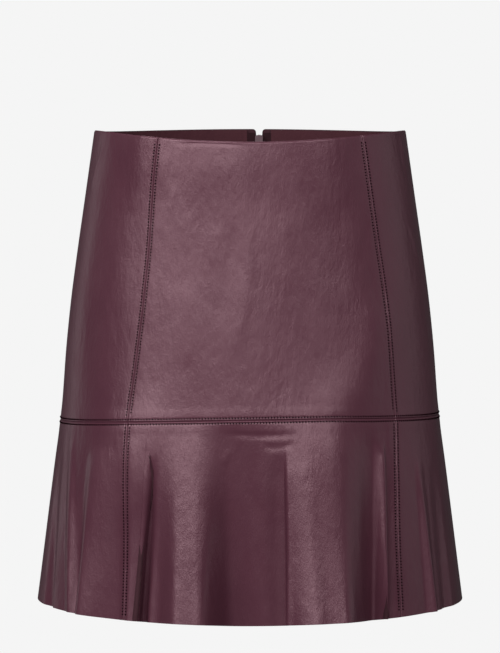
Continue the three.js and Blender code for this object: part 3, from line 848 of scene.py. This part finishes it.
def tube_faces(base, rings):
    """Quads of a closed six-sided tube, whose rings of points start at number base."""
    faces = []
    for k in range(rings - 1):
        a, b = base + k * TUBE_SIDES, base + (k + 1) * TUBE_SIDES
        for i in range(TUBE_SIDES):
            j = (i + 1) % TUBE_SIDES
            faces.append((a + i, b + i, b + j, a + j))
    last = base + (rings - 1) * TUBE_SIDES
    faces += [(base, base + 1, base + 2, base + 3), (base, base + 3, base + 4, base + 5)]
    faces += [(last + 3, last + 2, last + 1, last), (last + 5, last + 4, last + 3, last)]
    return faces


AROUND = np.arange(TUBE_SIDES) * 2 * np.pi / TUBE_SIDES


def thread_mesh(name, paths):
    """Stitches along paths of points and normals, as one mesh of small bent capsules."""
    points, faces = [], []
    for path, normal in paths:
        length = np.concatenate([[0], np.cumsum(np.linalg.norm(np.diff(path, axis=0), axis=1))])
        pitch = STITCH["pitch"]
        places = np.arange(pitch * ROW["before"], length[-1] - pitch * ROW["after"], pitch)

        def along_path(values, at):
            return np.stack([np.interp(at, length, values[:, k]) for k in range(3)], -1)

        at = along_path(path, places)
        up = along_path(normal, places)
        along = along_path(path, places + ROW["ahead"]) - at
        along /= np.linalg.norm(along, axis=1, keepdims=True)
        across = np.cross(up, along)
        for p, d, n, c in zip(at, along, up, across):
            faces += tube_faces(len(points), len(CAPSULE["place"]))
            for part in each(CAPSULE):
                centre = p + d * part["place"] * STITCH["length"] / 2
                centre = centre + n * (THREAD_HEIGHT + part["lift"])
                radius = STITCH["radius"] * part["radius"]
                for a in AROUND:
                    points.append(centre + radius * (math.cos(a) * c + FLATNESS * math.sin(a) * n))
    declare(mesh_piece(name, np.array(points), faces, THREAD_AND_HOLE_SHADE), "skirt", [])


def vertical_stitches(name, edge, face, middle):
    """Both rows along a princess seam."""
    down = np.linspace(ROW["start"], ROW["end"], ROW["points"])
    paths = []
    for side in (-1, 1):
        offset = side * (STITCH["offset"] + SEAM_GAP / 2)
        angle = moved(EDGES[edge], middle(down), offset)
        nudge = ROW["aside"] / per_degree(angle, ROW["aside_z"])
        grid = face(np.stack([angle - nudge, angle, angle + nudge], 1), np.stack([down] * 3, 1))
        normal = normals_of(grid)[:, 1]
        path = grid[:, 1] + normal * swell(angle, grid[:, 1, 2])[:, None]
        paths.append((path, normal))
    thread_mesh(name, paths)


def ring_stitches(name):
    """Both rows along the flounce seam, all round."""
    angles = np.linspace(-2 * SIDE_SEAM, 360 - 2 * SIDE_SEAM, ROW["ring_points"])
    body_length = WAIST["side"] - FLOUNCE_SEAM["side"]
    flounce_length = FLOUNCE_SEAM["side"] - HEM["side"]
    paths = []
    for face, t in ((body_face, 1 - STITCH["offset"] / body_length),
                    (flounce_face, STITCH["offset"] / flounce_length)):
        ts = np.array([t - ROW["down"], t, t + ROW["down"]])
        grid = face(np.broadcast_to(angles, (3, len(angles))).copy(),
                    np.broadcast_to(ts[:, None], (3, len(angles))).copy())
        normal = normals_of(grid)[1]
        path = grid[1] + normal * swell(angles, grid[1, :, 2])[:, None]
        paths.append((path, normal))
    thread_mesh(name, paths)


vertical_stitches("stitches_princess_right", "right_princess", body_face, body_middle)
vertical_stitches("stitches_princess_left", "left_princess", body_face, body_middle)
vertical_stitches("stitches_flounce_right", "right_princess", flounce_face, flounce_middle)
vertical_stitches("stitches_flounce_left", "left_princess", flounce_face, flounce_middle)
ring_stitches("stitches_flounce_seam")


def inner_strip(node, side, near, far, top, bottom, thick, material, columns, row_count):
    """A strip that lies inside the back panels, between two distances from centre back."""
    centre = EDGES["back" if side > 0 else "back_from_right"]
    t = np.linspace(0, 1, row_count)
    z = mix(WAIST["back"], bottom, t)
    ends = sorted((far(t), moved(centre, z, -side * near(z))), key=lambda track: track[0])
    angle = ends[0][:, None] + (ends[1] - ends[0])[:, None] * np.linspace(0, 1, columns)[None, :]
    face = form(angle, mix(top(angle), bottom, t[:, None]))
    normal = normals_of(face)
    outer = face - normal * INSIDE["depth"]
    inner = outer - normal * thick
    piece = leather_wall("fine_" + node, outer, inner, material)
    declare(piece, "skirt", [node])


def zip_strips(side, word):
    """The facing and the zip tape on one side."""
    seam = EDGES["left_side" if side > 0 else "right_side"]
    centre = EDGES["back" if side > 0 else "back_from_right"]
    zip_bottom = WAIST["back"] - ZIP["length"]
    inner_strip(
        "back_facing_" + word, side,
        near=lambda z: ZIP["tape_width"] + SEAM_GAP + 0 * z,
        far=lambda t: moved(seam, mix(0, -FACING["height"], t), side * SEAM_GAP / 2),
        top=lambda angle: waist_height(angle) - FACING["top_inset"],
        bottom=WAIST["back"] - FACING["height"],
        thick=INSIDE["facing"], material=FACING_LEATHER, columns=90, row_count=16)
    inner_strip(
        "zip_tape_" + word, side,
        near=lambda z: splay(z) + ZIP["set_back"],
        far=lambda t: moved(centre, mix(WAIST["back"], zip_bottom, t), -side * ZIP["tape_width"]),
        top=lambda angle: ZIP["tape_top"] + 0 * angle,
        bottom=zip_bottom,
        thick=INSIDE["tape"], material=TAPE, columns=10, row_count=120)


zip_strips(1, "left")
zip_strips(-1, "right")


def tube_mesh(name, paths, radius, material):
    """Tubes of even thickness along paths of points, as one mesh."""
    points, faces = [], []
    for path in paths:
        faces += tube_faces(len(points), len(path))
        along = np.gradient(path, axis=0)
        along /= np.linalg.norm(along, axis=1, keepdims=True)
        across = np.cross(along, (0, 0, 1.0))
        across /= np.linalg.norm(across, axis=1, keepdims=True)
        up = np.cross(across, along)
        for p, c, n in zip(path, across, up):
            points.extend(p + radius * (math.cos(a) * c + math.sin(a) * n) for a in AROUND)
    return mesh_piece(name, np.array(points), faces, material)


def coil():
    """The two rows of coil teeth, meshed below the slider: each is a loop round the cord."""
    bottom = WAIST["back"] - ZIP["length"]
    near, far, edge, low = COIL["near"], COIL["far"], COIL["edge"], COIL["drop"]
    bend = (COIL["reach"], (far + near) / 2, COIL["bend_drop"])
    turns = ((-edge, far, 0), (0, far, 0), bend, (0, near, low), (-edge, near, low))
    paths = []
    for side in (-1, 1):
        z = -COIL["top"] - (COIL["pitch"] / 2 if side > 0 else 0)
        while z > bottom:
            loop = []
            for x, out, drop in turns:
                centre = back_edge(z - drop)
                loop.append(form(centre + side * x / per_degree(centre, z), z - drop, out))
            paths.append(np.array(loop))
            z -= COIL["pitch"]
    piece = tube_mesh("coil_teeth", paths, COIL["radius"], TEETH)
    declare(piece, "skirt", ["zip_chain"])


coil()


def rounded_metal(name, node, body, offset):
    """A metal part with its flat faces joined and its edges rounded off."""
    shape = bmesh.new()
    shape.from_mesh(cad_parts[node].data)
    flat, sharp = math.radians(METAL["flat"]), math.radians(METAL["sharp"])
    bmesh.ops.remove_doubles(shape, verts=shape.verts, dist=METAL["weld"])
    bmesh.ops.dissolve_limit(shape, angle_limit=flat, verts=shape.verts, edges=shape.edges)
    edges = [edge for edge in shape.edges if edge.calc_face_angle(0) > sharp]
    bmesh.ops.bevel(shape, geom=edges, offset=offset * MM, segments=METAL["segments"],
                    profile=0.5, affect="EDGES", clamp_overlap=True)
    bmesh.ops.triangulate(shape, faces=shape.faces)
    mesh = bpy.data.meshes.new(name)
    shape.to_mesh(mesh)
    shape.free()
    mesh.polygons.foreach_set("use_smooth", np.full(len(mesh.polygons), False))
    mesh.materials.append(ZIP_METAL)
    declare(add_object(name, mesh), body, [node])


rounded_metal("slider", "zip_slider", "skirt", METAL["slider"])
rounded_metal("pull_tab", "zip_pull", "zip_pull", METAL["pull"])


# Stage: a pale floor that sweeps up into a backdrop all round, plain and evenly lit
STAGE = dict(floor=-1.1, radius=7.0, corner=2.0, height=8.0, brightness=0.913, sides=48, bends=8)
AMBIENT = 0.07


def make_stage():
    """The sweep: its profile is turned round the middle. It shows, and sheds no light."""
    s = STAGE
    profile = [(0.0, s["floor"]), (s["radius"] - s["corner"], s["floor"])]
    for a in np.linspace(0, np.pi / 2, s["bends"] + 1)[1:]:
        profile.append((s["radius"] - s["corner"] * (1 - math.sin(a)),
                        s["floor"] + s["corner"] * (1 - math.cos(a))))
    profile += [(s["radius"], s["height"]), (0.0, s["height"] + 1)]
    sides = s["sides"]
    points, faces = [], []
    for r, z in profile:
        for i in range(sides):
            a = 2 * np.pi * i / sides
            points.append((r * math.cos(a), r * math.sin(a), z))
    for k in range(len(profile) - 1):
        for i in range(sides):
            j = (i + 1) % sides
            faces.append((k * sides + i, k * sides + j, (k + 1) * sides + j, (k + 1) * sides + i))
    mesh = bpy.data.meshes.new("sweep")
    mesh.from_pydata(points, [], faces)
    sweep = add_object("sweep", mesh)
    material = bpy.data.materials.new("pale_paper")
    material.use_nodes = True
    tree = material.node_tree
    tree.nodes.clear()
    glow = tree.nodes.new("ShaderNodeEmission")
    glow.inputs["Color"].default_value = (*[s["brightness"]] * 3, 1)
    out = tree.nodes.new("ShaderNodeOutputMaterial")
    tree.links.new(glow.outputs["Emission"], out.inputs["Surface"])
    mesh.materials.append(material)
    sweep.visible_diffuse = False
    sweep.visible_glossy = False
    sweep.visible_shadow = False


make_stage()

world = bpy.data.worlds.new("studio")
world.use_nodes = True
background = world.node_tree.nodes["Background"]
background.inputs["Color"].default_value = (1, 1, 1, 1)
background.inputs["Strength"].default_value = AMBIENT
bpy.context.scene.world = world
bpy.context.scene.view_settings.view_transform = "Standard"

# Soft boxes: direction from the skirt (0 is the front, positive towards the wearer's left) and
# height in degrees, width and height in metres, and radiance
LIGHTS = rows(
    "angle height width tall radiance",
    (-53, 28, 1.2, 1.2, 6.4),
    (-17, 27, 2.2, 1.2, 5.9),
    (31, 30, 1.15, 1.2, 4.6),
    (90, 14, 1.9, 1.9, 0.5),
    (-122, 5, 0.7, 1.5, 0.62),
    (180, 50, 2.4, 1.0, 1.6),
)
LIGHT_DISTANCE = 2.4
LIGHT_AIM = Vector((0, 0, -0.22))


def make_lights():
    """The soft boxes round the skirt."""
    for i, light in enumerate(each(LIGHTS)):
        data = bpy.data.lights.new(f"soft_box_{i}", "AREA")
        data.shape = "RECTANGLE"
        data.size, data.size_y = light["width"], light["tall"]
        data.energy = light["radiance"] * math.pi * light["width"] * light["tall"]
        lamp = add_object(f"soft_box_{i}", data)
        a, e = math.radians(light["angle"]), math.radians(light["height"])
        way = Vector((math.sin(a) * math.cos(e), -math.cos(a) * math.cos(e), math.sin(e)))
        lamp.location = LIGHT_AIM + LIGHT_DISTANCE * way
        lamp.rotation_euler = way.to_track_quat("Z", "Y").to_euler()
        lamp.visible_camera = False


make_lights()
